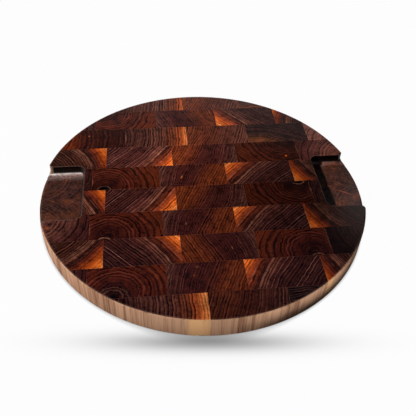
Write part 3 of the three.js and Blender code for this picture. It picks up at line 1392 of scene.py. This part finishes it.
@dataclass
class Studio:
    """Camera, lamps, floor and surroundings."""

    lens: float = 48.26
    sensor_width: float = 36.0
    nearest: float = 10.0  # the camera sees nothing closer than this
    camera_place: tuple[float, float, float] = (-65.67, -521.02, 498.63)
    camera_yaw: float = -7.977
    camera_elevation: float = 44.139
    camera_roll: float = 2.627
    fill_strength: float = 0.02
    backdrop: tuple[tuple[float, str], ...] = (
        (0.0, "ffffff"),
        (0.30, "f3f3f3"),
        (0.50, "c8c8c8"),
        (0.60, "383838"),
        (0.64, "1d1d1d"),
        (0.68, "1d1d1f"),
        (0.80, "3b3f59"),
    )
    contact_reach: float = 3.0  # how far the board's painted contact shadow reaches all round
    front_reach: float = 7.0  # how much farther it reaches in front of the board
    shadow_place: tuple[float, float] = (-16.1, -208.7)  # middle of the painted soft shadow in front of the board
    shadow_size: tuple[float, float] = (71.0, 8.0)  # how far it spreads along the front and away from it
    shadow_slant: float = 0.087  # it drops this far to the front for each step to the right
    shadow_depth: float = 0.67  # share of the light that it takes at its middle
    front_width: Band = (0.3, 1.7)  # where the farther reach fades out to the sides, in spreads of the shadow
    front_depth: Band = (6.0, 20.0)  # where it fades out to the back, in spreads of the shadow
    contact_dark: float = 0.3  # what the contact shadow leaves of the floor's white
    floor_size: float = 6000.0
    floor_drop: float = 0.2  # how far the floor lies below the board
    floor_grey: float = 0.12  # what the floor throws back on the board
    floor_white: float = 0.98  # share of plain white in the floor that the camera sees

    def build(self) -> None:
        """Builds all of the studio."""
        self._add_camera()
        for lamp in LAMPS:
            lamp.build()
        self._add_floor()
        self._add_surroundings()

    def _add_camera(self) -> None:
        """Adds the camera at the photograph's viewing angle."""
        lens = bpy.data.cameras.new("camera")
        lens.lens = self.lens
        lens.sensor_width = self.sensor_width
        lens.clip_start = self.nearest * MM
        camera = bpy.data.objects.new("camera", lens)
        bpy.context.scene.collection.objects.link(camera)
        turn = Matrix.Rotation(math.radians(self.camera_yaw), 4, "Z")
        tilt = Matrix.Rotation(math.radians(90 - self.camera_elevation), 4, "X")
        roll = Matrix.Rotation(math.radians(self.camera_roll), 4, "Z")
        camera.matrix_world = Matrix.Translation(Vector(self.camera_place) * MM) @ turn @ tilt @ roll
        bpy.context.scene.camera = camera

    def _add_floor(self) -> None:
        """Adds the pale floor, which shows white to the camera and keeps a little of the board's real shadow,
        with a painted soft shadow in front of the board and a painted contact shade from ambient occlusion.
        """
        bpy.ops.object.select_all(action="DESELECT")
        bpy.ops.mesh.primitive_plane_add(size=self.floor_size * MM, location=(0, 0, -self.floor_drop * MM))
        floor = bpy.context.object
        floor.name = "floor"
        apply_transform()
        made = bpy.data.materials.new("white_table")
        made.use_nodes = True
        nodes = Nodes(made.node_tree)
        table = nodes.add("ShaderNodeBsdfDiffuse", None, {"Color": (*[self.floor_grey] * 3, 1)})
        along = nodes.axis(nodes.here(), "X") / MM - self.shadow_place[0]
        away = nodes.axis(nodes.here(), "Y") / MM - self.shadow_place[1]
        away = (away + along * self.shadow_slant) / self.shadow_size[1]
        along = along / self.shadow_size[0]
        # painted shadow: a soft dark patch in front of the board, and a contact shade from ambient occlusion,
        # darken the floor's emitted white
        painted_soft_shadow = self.shadow_depth * math.e ** ((along * along + away * away) * -0.5)
        in_front = (1 - abs(along).rise(*self.front_width)) * (1 - away.rise(*self.front_depth))
        reach = (self.contact_reach + in_front * self.front_reach) * MM
        open_sky = nodes.add("ShaderNodeAmbientOcclusion", None, {"Distance": reach}, "AO")
        painted_contact_shade = nodes.blend((*[self.contact_dark] * 3, 1), (1, 1, 1, 1), open_sky)
        shade = nodes.blend(painted_contact_shade, 1 - painted_soft_shadow, 1.0, "MULTIPLY")
        white = nodes.add("ShaderNodeEmission", None, {"Color": shade, "Strength": 1.0})
        share = self._seen(nodes) * self.floor_white
        shader = nodes.add("ShaderNodeMixShader", None, {0: share, 1: table, 2: white})
        nodes.add("ShaderNodeOutputMaterial", None, {"Surface": shader})
        floor.data.materials.append(made)
        floor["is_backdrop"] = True

    @staticmethod
    def _seen(nodes: Nodes) -> Value:
        """Finds whether a ray shows its surface to the camera, directly or in gloss or glass."""
        seen = nodes.add("ShaderNodeLightPath", output="Is Camera Ray")
        for kind in ("Is Glossy Ray", "Is Transmission Ray"):
            seen = seen.most(nodes.add("ShaderNodeLightPath", output=kind))
        return seen

    def _add_surroundings(self) -> None:
        """Adds a pale backdrop that falls off to a dim ceiling, and a low even fill."""
        world = bpy.data.worlds.new("surroundings")
        bpy.context.scene.world = world
        world.use_nodes = True
        nodes = Nodes(world.node_tree)
        height = nodes.axis(nodes.here("Generated"), "Z")
        stops = [(sine, paint(code)) for sine, code in self.backdrop]
        backdrop = nodes.add("ShaderNodeValToRGB", {"stops": stops}, {0: height})
        shown = nodes.add("ShaderNodeBackground", None, {"Color": backdrop, "Strength": 1.0})
        even = {"Color": (1, 1, 1, 1), "Strength": self.fill_strength}
        fill = nodes.add("ShaderNodeBackground", None, even)
        shader = nodes.add("ShaderNodeMixShader", None, {0: self._seen(nodes), 1: fill, 2: shown})
        nodes.add("ShaderNodeOutputWorld", None, {"Surface": shader})


def rows_of(nodes: dict[str, bpy.types.Object]) -> list[Row]:
    """Sorts the CAD part's blocks into rows.

    Args:
        nodes: The CAD nodes by name.

    Returns:
        The rows.
    """
    boxes: dict[str, dict[str, tuple[Vector, Vector]]] = {}
    for name in sorted(nodes):
        row, board = name.split("_block_")
        boxes.setdefault(row, {})[board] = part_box(name)
    heights = [high.y - low.y for row in boxes.values() for low, high in row.values()]
    return [Row(name, row, max(heights)) for name, row in boxes.items()]


def main() -> None:
    """Builds the board round the CAD part, at the part's size, and lights it."""
    logging.basicConfig(level=logging.INFO, format="%(name)s: %(message)s")
    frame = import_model()
    cad_low, cad_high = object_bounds()
    bpy.context.scene.view_settings.view_transform = "Standard"
    Studio().build()

    blank = Blank(radius=cad_high.x / MM, thickness=cad_high.z / MM)
    slab = blank.build()
    woods = {wood.board: wood for wood in WOODS}
    materials = {wood.board: wood.material() for wood in WOODS}
    for row in rows_of(frame["nodes"]):
        strip = STRIPS[row.name]
        for board in row.boxes:
            block = Block(row, board, strip, strip.piths.get(board, woods[board].pith))
            piece = block.build(slab, blank.radius)
            block.dress(piece, materials[board])
            log.info("%s stands for %s with %d faces", piece.name, block.node, len(piece.data.polygons))
    bpy.data.objects.remove(slab)


if __name__ == "__main__":
    main()
